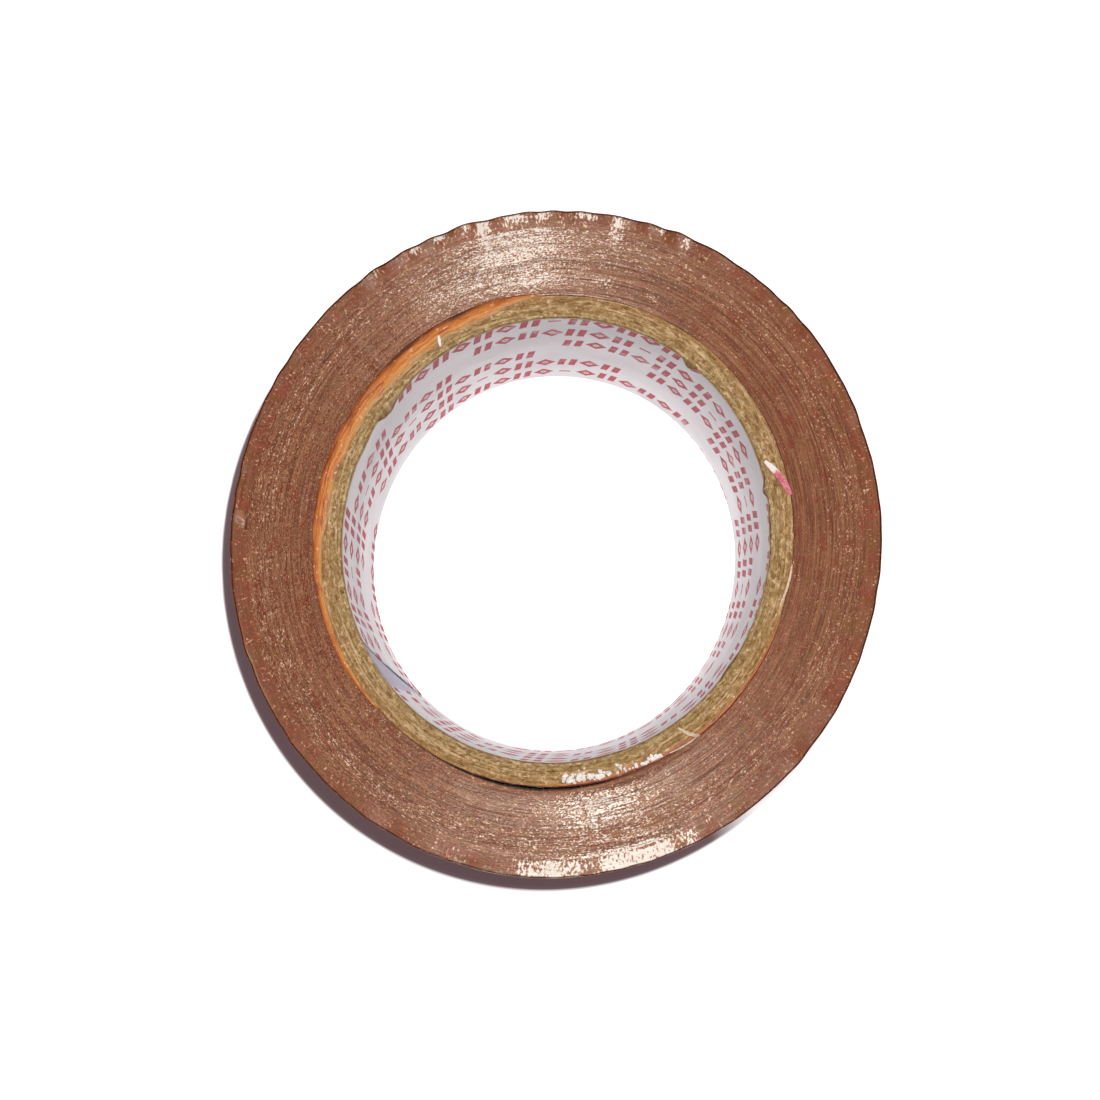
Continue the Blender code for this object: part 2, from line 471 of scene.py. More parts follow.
def film_surface(name):
    """The smooth face of the film, brown from the many turns behind it."""
    look = Look(name, "wall_place", Roughness=0.15, IOR=1.45, Coat_Weight=0.12, Coat_Roughness=0.06)
    cloud = look.noise((0.05, 0.05, 0.03), detail=4.0, roughness=0.6)
    bands = look.noise((0.02, 0.02, 1.3), detail=3.0)
    base = look.over((102, 50, 27), cloud, (0.35, 0.0), (0.65, 1.0), (134, 74, 42))
    base = look.over(base, bands, (0.45, 0.0), (0.70, 0.35), (156, 96, 60))
    bubbles = look.noise((0.7, 0.7, 0.5), detail=3.0, roughness=0.6)
    base = look.over(base, bubbles, (0.60, 0.0), (0.72, 0.4), (172, 112, 76))
    wrinkle = look.noise((0.16, 0.16, 0.05), detail=3.0, distortion=0.4)
    look.set(Base_Color=base, Normal=look.bump(wrinkle, 0.25 * MM, 0.5))
    return look.material


def amber_film(name):
    """Loose turns of see-through film, orange where they lie deep and fading over the board."""
    look = Look(name, "face_place", Roughness=0.42, Specular_IOR_Level=0.3)
    streaks = look.noise((0.22, 0.22, 1.3), detail=4.0, roughness=0.62, distortion=0.6)
    base = look.ramp(
        look.attribute("inward") + (streaks - 0.5) * 0.9,
        (0.00, (122, 56, 20)),
        (0.14, (188, 100, 32)),
        (0.55, (208, 124, 46)),
        (0.85, (202, 140, 68)),
        (1.00, (172, 134, 80)),
    )
    base = look.over(base, streaks, (0.36, 0.75), (0.47, 0.0), (150, 72, 28))
    # Painted glints on the film
    painted_glints = look.noise((0.9, 0.9, 2.2), detail=3.0)
    base = look.over(base, painted_glints, (0.63, 0.0), (0.72, 0.70), (240, 214, 172))
    # Darker where `line` says: painted shadow along the flap's outer edge, painted shade beside the slack
    # pocket, and a darker brown towards the lip's outer edge
    base = look.mix(look.attribute("line"), base, (78, 32, 18))
    look.set(Base_Color=base, Normal=look.bump(streaks, 0.15 * MM, 0.8))
    return look.material


def board(name, tint):
    """Grey-brown paperboard: matted and olive on its cut end, and a cool grey where its bore side shows in
    the liner's open seam, as painted shade.
    """
    look = Look(name, "face_place", Roughness=0.92, Specular_IOR_Level=0.25)
    fibres = look.noise((0.85, 0.85, 1.8), detail=5.0, roughness=0.66, distortion=0.8)
    cloud = look.noise((0.22, 0.22, 0.8), detail=4.0, roughness=0.6)
    plies = look.noise((0.11, 0.11, 2.6), roughness=0.6)
    base = look.ramp(
        fibres,
        (0.34, (120, 90, 52)),
        (0.45, (164, 128, 82)),
        (0.54, tint),
        (0.66, (232, 208, 166)),
    )
    base = look.over(base, cloud, (0.50, 0.0), (0.68, 0.6), (146, 120, 70))
    base = look.over(base, cloud, (0.32, 0.6), (0.46, 0.0), (140, 100, 66))
    base = look.over(base, plies, (0.36, 0.32), (0.46, 0.0), (146, 110, 52))
    base = look.over(base, plies, (0.57, 0.0), (0.65, 0.48), (230, 204, 160))
    # Painted shade: the bore face in the liner's open seam is a cool grey
    base = look.mix(look.attribute("bare"), base, (190, 192, 206))
    look.set(Base_Color=base, Normal=look.bump(fibres + cloud * 1.2, 0.22 * MM, 0.8))
    return look.material


# The print is a repeat of plain lozenges and slanted bars, in rows that climb round the core.
# Lengths are in millimetres along the sheet or up it.
MARK_PITCH = 4.3
MARK_HEIGHT = 5.4
BLOCK_CELLS = 19                # cells in a repeat, some of them left blank
BLOCK_START = 23.0
ROW_PITCH = 8.2
ROW_START = 1.6
ROW_SHIFT = 16.8                # from one row's first mark to the next row's
ROW_CLIMB = 0.038               # as a slope


def print_marks(along, up):
    """1 where a crimson mark is printed, 0 elsewhere."""
    row_place = (along * ROW_CLIMB + (up + ROW_START)) / ROW_PITCH
    row = row_place.floor()
    across = (row_place - row - 0.5) * ROW_PITCH
    cell_place = (along - (row * ROW_SHIFT + BLOCK_START)) / MARK_PITCH
    cell = cell_place.floor()
    slot_x = cell_place - cell - 0.5
    block = cell % float(BLOCK_CELLS)
    height = across / (MARK_HEIGHT / 2.0)
    upright = abs(height)
    # The outline of a lozenge with a dot inside it, on even cells
    lozenge = abs(slot_x) * 2.1 + upright
    ring = lozenge.near(0.68, 0.32) + lozenge.below(0.16)
    # Two slanted bars, on odd cells
    bars = abs(slot_x + height * 0.08).near(0.25, 0.155) * upright.below(0.92)
    odd = cell % 2.0
    mark = bars * odd + ring * (1.0 - odd)
    # Groups of six, three and four marks, with a short dash after the first group
    shown = block.below(5.5) + block.near(8.0, 1.1) + block.near(11.5, 1.6)
    dash = block.near(6.0, 0.1) * (upright.below(0.16) * abs(slot_x).below(0.26))
    return mark * shown + dash


def printed_paper(name):
    """Pale paper with worn rows of crimson marks."""
    look = Look(name, "sheet", Roughness=0.62, Specular_IOR_Level=0.35)
    along, up, _ = look.separate(look.place)
    wear = look.noise((0.16, 0.16, 1.0), detail=4.0, roughness=0.65)
    grain = look.noise((2.6, 2.6, 1.0), detail=4.0, roughness=0.7)
    ink = print_marks(along, up) * look.ramp(wear, (0.33, 0.50), (0.45, 1.0))
    ink = ink * look.ramp(grain, (0.33, 0.50), (0.44, 1.0))
    tone = look.noise((0.05, 0.08, 1.0), detail=4.0)
    paper = look.over((205, 211, 211), tone, (0.35, 0.0), (0.65, 1.0), (224, 229, 228))
    paper = look.over(paper, grain, (0.40, 0.35), (0.56, 0.0), (206, 190, 194))
    stain = look.noise((0.10, 0.22, 1.0), detail=5.0, roughness=0.7)
    paper = look.over(paper, stain, (0.60, 0.0), (0.75, 0.45), (196, 172, 160))
    base = look.mix(ink, paper, (166, 16, 50))
    base = look.mix(look.attribute("fuzz"), base, (168, 140, 98))
    creases = look.noise((0.35, 0.06, 1.0), detail=4.0, distortion=0.5)
    look.set(Base_Color=base, Normal=look.bump(creases * 1.5 + grain * 0.5, 0.2 * MM, 0.6))
    return look.material


def scrap_paper(name, pale, dark, far_end=None):
    """Torn paper, of another colour at its far end if one is given."""
    look = Look(name, Roughness=0.8, Specular_IOR_Level=0.3)
    fibres = look.noise((2200.0, 2200.0, 900.0), detail=4.0, roughness=0.65)
    base = look.over(dark, fibres, (0.38, 0.0), (0.62, 1.0), pale)
    if far_end is not None:
        torn = look.attribute("along") + fibres * 0.2
        base = look.over(base, torn, (0.70, 0.0), (0.82, 1.0), far_end)
    look.set(Base_Color=base, Normal=look.bump(fibres, 0.05 * MM, 0.6))
    return look.material


def floor_material():
    """A pale floor that glows as painted light, in the roll's hole too; painted shadow takes the glow
    away, crisply in the key light's shadow and softly close round the roll.
    """
    look = Look("pale_floor", Roughness=0.75, Specular_IOR_Level=0.2, Emission_Strength=0.9)

    def measure(operation, *vectors, output="Value"):
        return look.add("VectorMath", output, dict(enumerate(vectors)), operation=operation)

    grain = look.noise((60.0, 60.0, 60.0), detail=3.0)
    oval = look.add("Mapping", "Vector", {
        "Vector": look.place,
        "Location": SHADOW_CENTRE,
        "Rotation": (0.0, 0.0, math.radians(SQUASH_AZIMUTH)),
        "Scale": (SHADOW_RADIUS + SQUASH, SHADOW_RADIUS - SQUASH, 1.0),
    }, vector_type="TEXTURE")
    crisp_painted_shadow = look.ramp(measure("LENGTH", oval) * 0.5, (0.496, 0.0), (0.499, 1.0))
    distance = measure("LENGTH", look.place)
    soft_painted_shade = look.ramp(distance / (2.0 * ROLL_RADIUS), (0.500, 0.10), (0.530, 0.55), (0.575, 1.0))
    # The crisp painted shadow shows on the near left side only; elsewhere the floor has a soft painted
    # shade
    toward = measure("NORMALIZE", look.place, output="Vector")
    side = look.ramp(measure("DOT_PRODUCT", toward, SHADOW_SIDE), (0.14, 0.0), (0.30, 1.0))
    # Painted light: the floor in the roll's hole glows too
    painted_light_in_hole = look.ramp(distance / (2.0 * CORE_RADIUS), (0.455, 1.0), (0.465, 0.0))
    look.set(Base_Color=look.over((212, 200, 206), grain, (0.3, 0.0), (0.7, 1.0), (218, 206, 212)),
             Emission_Color=look.mix(side, soft_painted_shade, crisp_painted_shadow) + painted_light_in_hole)
    return look.material


def dress(piece, material, slot, *nodes, body="roll", wall=None):
    """Give a piece its material, the CAD nodes that it stands for and its body; `slot` is not used.

    Its upright faces may have a material of their own, `wall`.
    """
    piece.data.materials.append(material)
    if wall is not None:
        piece.data.materials.append(wall)
        normals = np.empty(3 * len(piece.data.polygons), np.float32)
        piece.data.polygons.foreach_get("normal", normals)
        upright = (np.abs(normals[2::3]) < 0.7).astype(np.int32)
        piece.data.polygons.foreach_set("material_index", upright)
    if body is not None:
        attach(piece, body)
    if nodes:
        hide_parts(*nodes)


# ---------------------------------------------------------------- values round the roll

FULL_TURN = np.linspace(0.0, TAU, 720, endpoint=False)
WALL_TURN = np.linspace(0.0, TAU, 1080, endpoint=False)     # for the rippled outer turns


def column_of(turn, azimuths=FULL_TURN):
    """Index of the nearest of the evenly spaced azimuths."""
    step = azimuths[1] - azimuths[0]
    return np.rint((turn - azimuths[0]) / step).astype(int) % len(azimuths)


def field_at(field, across, turn, azimuths=FULL_TURN):
    """Values of layered() curves: the first curve is at `across` 0 and the last at 1."""
    ring = np.rint(across * (len(field) - 1)).astype(int)
    return field[ring, column_of(turn, azimuths)]


def edge_drop(across):
    """How much lower a face lies at its inner and outer edges."""
    return np.where((across < 0.001) | (across > 0.999), 0.03 * MM, 0.0)


# ---------------------------------------------------------------- the core

# Tears in the liner's upper edge: (azimuth, half width in degrees, depth in mm)
LINER_TEARS = (
    (13.0, 6.0, 1.2),
    (23.0, 2.4, 3.2),
    (64.0, 2.6, 3.4),
    (154.0, 8.0, 2.4),
    (158.0, 4.6, 3.0),
    (170.0, 5.0, 1.0),
    (245.0, 7.0, 1.4),
    (288.0, 9.0, 2.2),
    (331.0, 5.0, 2.6),
)
LINER_SHEET = 0.14 * MM         # thickness of the paper as it is shown

# The open seam of the liner: azimuths of its two edges, at the top and at the bottom
SEAM_TOP = (208.3, 222.3)
SEAM_BOTTOM = (225.5, 226.6)

PLY_TINTS = (
    (184, 160, 114),
    (186, 160, 108),
    (190, 156, 108),
    (192, 154, 106),
    (190, 146, 96),
    (184, 134, 84),
)


def seam_edge(side, up):
    return SEAM_BOTTOM[side] + (SEAM_TOP[side] - SEAM_BOTTOM[side]) * up


def make_liner():
    """The liner as one sheet, curled round the bore from one edge of its open seam to the other."""
    columns, rows = 900, 72
    along, up = np.meshgrid(np.linspace(0.0, 1.0, columns), np.linspace(0.0, 1.0, rows), indexing="ij")
    first = seam_edge(1, up)
    last = seam_edge(0, up) + 360.0
    azimuth = np.radians(first + (last - first) * along)
    turn = azimuth[:, 0]

    ragged = 0.25 * MM * (1.0 + wavy(turn, 20, 140, 0.3))
    ragged += 0.25 * MM * np.clip(wavy(turn, 60, 220), 0.0, 1.0)
    for centre, half_width, depth in LINER_TEARS:
        ragged += depth * MM * bump_at(turn, centre, half_width) ** 0.7
    height = up * (WIDTH - ragged[:, None]) + 0.05 * MM * (1.0 - up)
    buckle = 0.10 * MM * layered(rows, turn, 24, 0.8, 6).T * np.sin(math.pi * up)
    radius = BORE_RADIUS + 0.10 * MM - np.clip(buckle, -0.08 * MM, 0.15 * MM)
    faces_of_sheet = [
        np.stack([*ring_xy(radius + thickness, azimuth), height], -1).reshape(-1, 3)
        for thickness in (0.0, LINER_SHEET)
    ]

    count = columns * rows
    grid = np.arange(count).reshape(columns, rows)
    front = np.stack([grid[:-1, :-1], grid[:-1, 1:], grid[1:, 1:], grid[1:, :-1]], -1).reshape(-1, 4)
    rim = np.concatenate([grid[:, 0], grid[-1, 1:], grid[-2::-1, -1], grid[0, -2:0:-1]])
    following = np.roll(rim, -1)
    edge = np.stack([rim, following, following + count, rim + count], -1)
    faces = np.concatenate([front, front[:, ::-1] + count, edge])

    arc = (azimuth - azimuth.min()) * BORE_RADIUS / MM
    sheet = np.stack([arc, height / MM, np.zeros_like(arc)], -1).reshape(-1, 3)
    below_edge = (WIDTH - ragged[:, None] - height) / MM
    fuzz_depth = 0.35 + 0.5 * np.abs(wavy(turn, 30, 160))[:, None]
    fuzz = np.clip(1.0 - below_edge / fuzz_depth, 0.0, 1.0)
    attributes = {"sheet": np.tile(sheet, (2, 1)), "fuzz": np.tile(fuzz.reshape(-1), 2)}
    liner = mesh_object("liner_paper", np.concatenate(faces_of_sheet), faces, attributes)
    dress(liner, printed_paper("printed_paper"), "printed_paper", "core_liner")


def make_ply(number, outer, tint):
    """A board ply with fuzzy cut ends; the innermost shows its face, painted a cool grey as painted shade,
    in the liner's open seam.
    """
    steps = 6
    fuzz = layered(steps + 1, FULL_TURN, 340, 0.15, 0)
    swell = wavy(FULL_TURN, 2, 30, 0.4)

    def relief(across, turn):
        height = 0.05 * MM * field_at(fuzz, across, turn) + 0.05 * MM * swell[column_of(turn)]
        return height - edge_drop(across) - 0.12 * MM

    def tones(across, up, turn):
        # The innermost ply's face in the open seam, which gets painted shade
        in_seam = np.abs(np.degrees(turn) - 216.0) < 14.0
        bare = (across < 0.01) & in_seam & (up > 0.02) & (up < 0.97) & (number == 1)
        return {"bare": np.where(bare, 1.0, 0.0)}

    inner = outer - PLY_THICKNESS - GLUE_LINE * 0.4
    ply = ring_solid(f"board_ply_{number}", inner, outer, steps, FULL_TURN, tones,
                     back_steps=steps, wall_steps=8, face_relief=relief)
    dress(ply, board(f"board_{number}", tint), "core_board", f"core_ply_{number}")


# ---------------------------------------------------------------- loose turns next to the core

AMBER_START = 93.0
AMBER_STOP = 224.0
AMBER_TURN = np.radians(np.linspace(AMBER_START, AMBER_STOP, 520))


def amber_wall(turn):
    """Outside of the amber turns, just short of the winding."""
    return np.maximum(winding_bore(turn) - 0.04 * MM, CORE_RADIUS + 0.09 * MM)


def make_amber_turns(amber):
    """Loose first turns, which fill the slack pocket at the left."""
    def tones(across, up, turn):
        return {"inward": 0.3}

    turns = ring_solid("amber_turns", CORE_RADIUS + 0.03 * MM, amber_wall, 10, AMBER_TURN, tones,
                       closed=False, back_steps=4, wall_steps=4, high=WIDTH - 0.15 * MM)
    dress(turns, amber, "amber_film", "starter_wraps")


def make_amber_flap(amber):
    """The edges of the loose first turns, which lean over the board's end and over the winding."""
    steps = 26
    folds = layered(steps + 1, AMBER_TURN, 60, 0.5, 1)

    def taper(turn):
        place = np.degrees(turn)
        from_start = between(place, AMBER_START, AMBER_START + 11.0) ** 1.5
        return from_start * between(place, AMBER_STOP, AMBER_STOP - 44.0)

    def inner(turn):
        ragged = 0.10 * np.sin(17.0 * turn) + 0.07 * np.sin(41.0 * turn + 1.0) + 0.05 * np.sin(97.0 * turn)
        wide = between(np.degrees(turn), 196.0, 170.0)
        broad = 0.85 + 0.45 * bump_at(turn, 145.0, 65.0) + 0.80 * bump_at(turn, 128.0, 38.0)
        reach = 0.25 + (broad + 1.6 * ragged) * wide
        return CORE_RADIUS - reach * MM * taper(turn)

    def outer(turn):
        lapped = CORE_RADIUS + (1.02 + 0.06 * np.sin(9.0 * turn) + 0.04 * np.sin(31.0 * turn)) * MM
        return amber_wall(turn) + np.maximum(lapped - amber_wall(turn), 0.0) * taper(turn) ** 0.5

    def relief(across, turn):
        crown = 0.12 * MM * np.sin(math.pi * across) ** 0.5
        return crown + 0.02 * MM * field_at(folds, across, turn, AMBER_TURN) - 0.02 * MM

    def tones(across, up, turn):
        # Painted shadow along the flap's outer edge, varying in strength round it
        worn = 0.75 + 0.25 * np.sin(23.0 * turn)
        outer_shadow_line = between(across, 0.70, 0.86) * bump_at(turn, 120.0, 34.0) ** 0.4 * worn
        return {"inward": 1.0 - across, "line": outer_shadow_line}

    flap = ring_solid("amber_flap", inner, outer, steps, AMBER_TURN, tones, closed=False, back_steps=4,
                      wall_steps=1, face_relief=relief, low=WIDTH - 0.10 * MM, high=WIDTH - 0.02 * MM)
    dress(flap, amber, "amber_film")


def make_amber_tail(amber):
    """Amber film beyond the pocket, which leaves a dark crescent of slack at the bottom, with painted
    shade on the film beside it.
    """
    def outer(turn):
        ragged = 0.10 * np.sin(47.0 * turn) + 0.07 * np.sin(113.0 * turn + 0.6)
        gap = (0.06 + (0.62 + ragged) * bump_at(turn, 266.0, 31.0) ** 0.7) * MM
        return np.maximum(winding_bore(turn) - gap, CORE_RADIUS + 0.12 * MM)

    def tones(across, up, turn):
        # Painted shade on the film beside the slack pocket
        return {"inward": 0.16 + 0.2 * bump_at(turn, 286.0, 14.0),
                "line": 0.35 + 0.55 * bump_at(turn, 266.0, 30.0) ** 0.5}

    azimuth = np.radians(np.linspace(224.3, 303.0, 300))
    tail = ring_solid("amber_tail", CORE_RADIUS + 0.08 * MM, outer, 4, azimuth, tones, closed=False,
                      back_steps=2, high=WIDTH - 0.12 * MM)
    dress(tail, amber, "amber_film")


def make_amber_lip(amber):
    """A ragged lip of film that leans over the board at the lower right."""
    def inner(turn):
        ragged = 0.12 * np.sin(29.0 * turn) + 0.08 * np.sin(83.0 * turn)
        widest = 0.85 * bump_at(turn, 290.0, 32.0) * (1.0 + 2.0 * ragged)
        return CORE_RADIUS - (0.05 + widest + 0.10 * bump_at(turn, 322.0, 20.0)) * MM

    def outer(turn):
        return CORE_RADIUS + 0.10 * MM + 0.30 * MM * bump_at(turn, 322.0, 32.0) ** 0.5

    def relief(across, turn):
        return (0.07 * np.sin(math.pi * across) + 0.015 * np.sin(61.0 * turn)) * MM - 0.02 * MM

    def tones(across, up, turn):
        return {"inward": 0.50 - 0.45 * across, "line": 0.25 + 0.6 * between(across, 0.5, 0.8)}

    azimuth = np.radians(np.linspace(266.0, 340.0, 300))
    lip = ring_solid("amber_lip", inner, outer, 8, azimuth, tones, closed=False, back_steps=2,
                     wall_steps=1, face_relief=relief, low=WIDTH - 0.10 * MM, high=WIDTH - 0.04 * MM)
    dress(lip, amber, "amber_film")


# ---------------------------------------------------------------- the winding

# Concentric grooves where the winding's tension changed, with painted shade in them, darker the deeper
# they are:
# (mean radius in mm, depth in mm, centre azimuth, half width in degrees)
WINDING_LINES = (
    (43.3, 0.05, 90.0, 400.0),
    (45.6, 0.05, 20.0, 120.0),
    (47.5, 0.05, 30.0, 90.0),
    (47.2, 0.09, 198.0, 34.0),
    (49.0, 0.09, 30.0, 400.0),
    (50.3, 0.04, 150.0, 80.0),
    (52.3, 0.08, 38.0, 60.0),
    (53.6, 0.04, 200.0, 90.0),
)
LINE_SPREAD = 0.12 * MM
LINE_DRIFT = 0.12 * MM          # how far a line wanders from its radius, three times round

# Where the knife whitened the winding, and painted sheen in the two fans of light at the top and the
# bottom:
# (azimuth, mean radius in mm, half width in degrees, half depth in mm, strength)
WHITENED_AND_SHEEN = (
    (97.0, 50.0, 40.0, 12.0, 0.36),
    (98.5, 50.5, 15.0, 12.0, 0.46),
    (113.0, 47.0, 15.0, 5.0, 0.36),
    (95.0, 45.2, 16.0, 1.8, 0.42),
    (98.0, 55.4, 14.0, 2.4, 0.44),
    (79.5, 45.4, 4.0, 1.6, 0.35),
    (79.0, 54.2, 2.2, 3.2, 0.50),
    (92.6, 54.6, 2.6, 3.0, 0.25),
    (103.3, 54.6, 2.2, 3.4, 0.35),
    (66.3, 54.8, 1.6, 1.6, 0.40),
    (68.5, 45.2, 3.0, 2.4, 0.36),
    (278.5, 46.4, 23.0, 5.0, 0.52),
    (279.5, 46.0, 14.0, 4.0, 0.44),
    (278.0, 49.2, 15.0, 2.0, 0.26),
    (283.0, 48.75, 12.0, 0.6, 0.40),
    (279.0, 52.0, 30.0, 5.0, 0.20),
    (285.0, 52.8, 9.0, 1.6, 0.24),
    (280.0, 55.0, 20.0, 1.8, 0.72),
    (285.0, 55.0, 8.0, 1.8, 0.50),
    (240.0, 52.0, 90.0, 3.6, 0.10),
    (155.0, 51.0, 42.0, 0.5, 0.24),
    (150.0, 53.2, 30.0, 1.0, 0.10),
    (282.0, 42.2, 40.0, 1.9, -0.45),
)

# Places where the loose turns' edges are pulled up, with painted highlights on them:
# (azimuth, half width in degrees, strength, reach inwards as a share of their depth)
GLEAMS = (
    (66.3, 1.3, 0.85, 0.75),
    (71.5, 1.3, 0.55, 0.55),
    (79.0, 1.6, 1.05, 1.00),
    (84.5, 2.6, 0.75, 0.60),
    (89.4, 0.7, 0.70, 0.35),
    (92.6, 1.9, 1.00, 0.55),
    (97.2, 2.4, 0.90, 0.60),
    (103.3, 1.7, 1.10, 1.00),
    (106.2, 1.0, 0.80, 0.60),
    (111.3, 1.6, 0.95, 0.55),
    (116.2, 1.6, 1.00, 0.50),
    (124.0, 1.0, 0.45, 0.40),
    (264.5, 2.6, 0.80, 1.00),
    (269.2, 4.4, 1.20, 1.00),
    (274.0, 2.6, 0.80, 1.00),
    (279.5, 3.8, 1.15, 1.00),
    (284.5, 4.2, 1.25, 1.00),
    (289.0, 3.6, 1.15, 1.00),
    (293.6, 2.2, 0.85, 1.00),
)

# Random curves of the winding, round FULL_TURN, and of the loose turns, round WALL_TURN
FLUTES = wavy(FULL_TURN, 30, 90, 0.2)
SWELL = wavy(FULL_TURN, 1, 6, 0.5)
LINE_WEAR = 0.6 + 0.4 * wavy(FULL_TURN, 3, 40, 0.4)
RIPPLE_TOP = wavy(WALL_TURN, 35, 85, 0.3)
RIPPLE_MID = wavy(WALL_TURN, 8, 40, 0.5)
LUMPS = wavy(WALL_TURN, 3, 12, 0.6)
for azimuth, _, strength, _ in GLEAMS:     # each pulled-up edge stands out a little
    RIPPLE_TOP += 0.9 * strength * bump_at(WALL_TURN, azimuth + 1.2, 3.2)


def lines(place, turn):
    """Depth of the concentric lines at mean radii `place`."""
    total = np.zeros_like(place)
    for radius, depth, centre, half_width in WINDING_LINES:
        drift = LINE_DRIFT * np.sin(3.0 * turn + 4.0 * radius)
        offset = (place - radius * MM - drift) / LINE_SPREAD
        total += depth * MM * bump_at(turn, centre, half_width) * np.exp(-offset ** 2)
    return total * LINE_WEAR[column_of(turn)]


def fleck_and_sheen_share(place, turn):
    """How much of the winding's face is whitened, at mean radii `place`: flecks cut by the knife, and
    painted sheen in the fans of light.
    """
    share = 0.06 + 0.14 * np.exp(-((place - 52.0 * MM) / (2.0 * MM)) ** 2)
    for azimuth, radius, half_width, half_depth, strength in WHITENED_AND_SHEEN:
        across = between(np.abs(place / MM - radius), 0.0, half_depth)
        share = share + strength * bump_at(turn, azimuth, half_width) * np.cos(0.5 * math.pi * across) ** 2
    smooth = bump_at(turn, 20.0, 70.0) + 0.6 * bump_at(turn, 185.0, 45.0)
    return share - 0.14 * smooth * between(place, 49.5 * MM, 46.5 * MM)


def dull_share(place, turn):
    """Where the cut edges are less glossy: at the bottom, most of all next to the core."""
    middle = np.exp(-((place - 51.8 * MM) / (2.0 * MM)) ** 2)
    by_the_core = np.exp(-((place - 42.8 * MM) / (1.1 * MM)) ** 2)
    return bump_at(turn, 280.0, 65.0) ** 0.5 * (0.22 + 0.85 * middle + 1.6 * by_the_core)


def grit_share(turn):
    """How coarse the cut edges are: finest at the right."""
    return 1.0 - 0.62 * bump_at(turn, 5.0, 110.0) ** 0.7


def make_bank(side, inner, steps, pale, dark):
    """A bank of wraps: turns of slightly different height, crossed by faint radial flutes."""
    outer = BANK_RADII[side]
    fine = layered(steps + 1, FULL_TURN, 40, 0.55, 0)
    broad = layered(steps + 1, FULL_TURN, 10, 0.6, 2)

    def place_of(across, turn):
        return at(inner, turn) + across * (outer - at(inner, turn))

    def relief(across, turn):
        column = column_of(turn)
        rough = 0.005 * field_at(fine, across, turn) + 0.008 * field_at(broad, across, turn)
        height = (rough + 0.009 * FLUTES[column]) * MM + 0.04 * MM * SWELL[column] - 0.10 * MM
        return height - lines(place_of(across, turn), turn) - edge_drop(across)

    def tones(across, up, turn):
        place = place_of(across, turn)
        return {
            # Painted shade in the grooves, darker the deeper they are
            "line": np.clip(lines(place, turn) / (0.10 * MM), 0.0, 0.75),
            "fleck": fleck_and_sheen_share(place, turn),
            "dull": dull_share(place, turn),
            "grit": grit_share(turn),
        }

    bank = ring_solid(f"wound_{side}", inner, outer, steps, FULL_TURN, tones,
                      back_steps=max(steps // 3, 6), face_relief=relief)
    film = wound_film(f"wound_{side}_film", pale, dark)
    dress(bank, film, "wound_film", f"{side}_bank")


def sample(curve, turn):
    """Value of a curve given round WALL_TURN, at any azimuth in radians."""
    return np.interp(turn % TAU, np.append(WALL_TURN, TAU), np.append(curve, curve[0]))


def ripple(up, turn):
    """How far the loose turns stand out from their true radius, most at their upper and lower edges."""
    near_edge = np.abs(2.0 * up - 1.0) ** 3
    strength = 0.4 + 0.6 * bump_at(turn, 90.0, 75.0) + 0.42 * bump_at(turn, 195.0, 65.0)
    return MM * (0.20 * strength * near_edge * sample(RIPPLE_TOP, turn)
                 + 0.07 * sample(RIPPLE_MID, turn) + 0.10 * sample(LUMPS, turn))


def crease(across, turn):
    """A raised crease that leans across the loose turns at the left."""
    offset = (np.degrees(turn) - (175.6 + 1.6 * (1.0 - across))) / 0.9
    return np.exp(-offset ** 2) * between(across, 0.12, 0.42) * between(across, 1.0, 0.7)


def slit(across, turn):
    """A short slit between the loose turns, beside the crease."""
    offset = (np.degrees(turn) - 177.6) / 1.3
    return np.exp(-offset ** 4) * np.exp(-((across - 0.13) / 0.05) ** 2)


def gleam(across, turn):
    """How strong the painted highlights on the pulled-up edges of the loose turns are."""
    total = np.zeros_like(across)
    for azimuth, half_width, strength, reach in GLEAMS:
        inner_end = between(across, 1.0 - 1.25 * reach, 1.5 - 1.25 * reach)
        total = total + strength * bump_at(turn, azimuth, half_width * 1.25) * inner_end
    return np.minimum(total, 1.25)


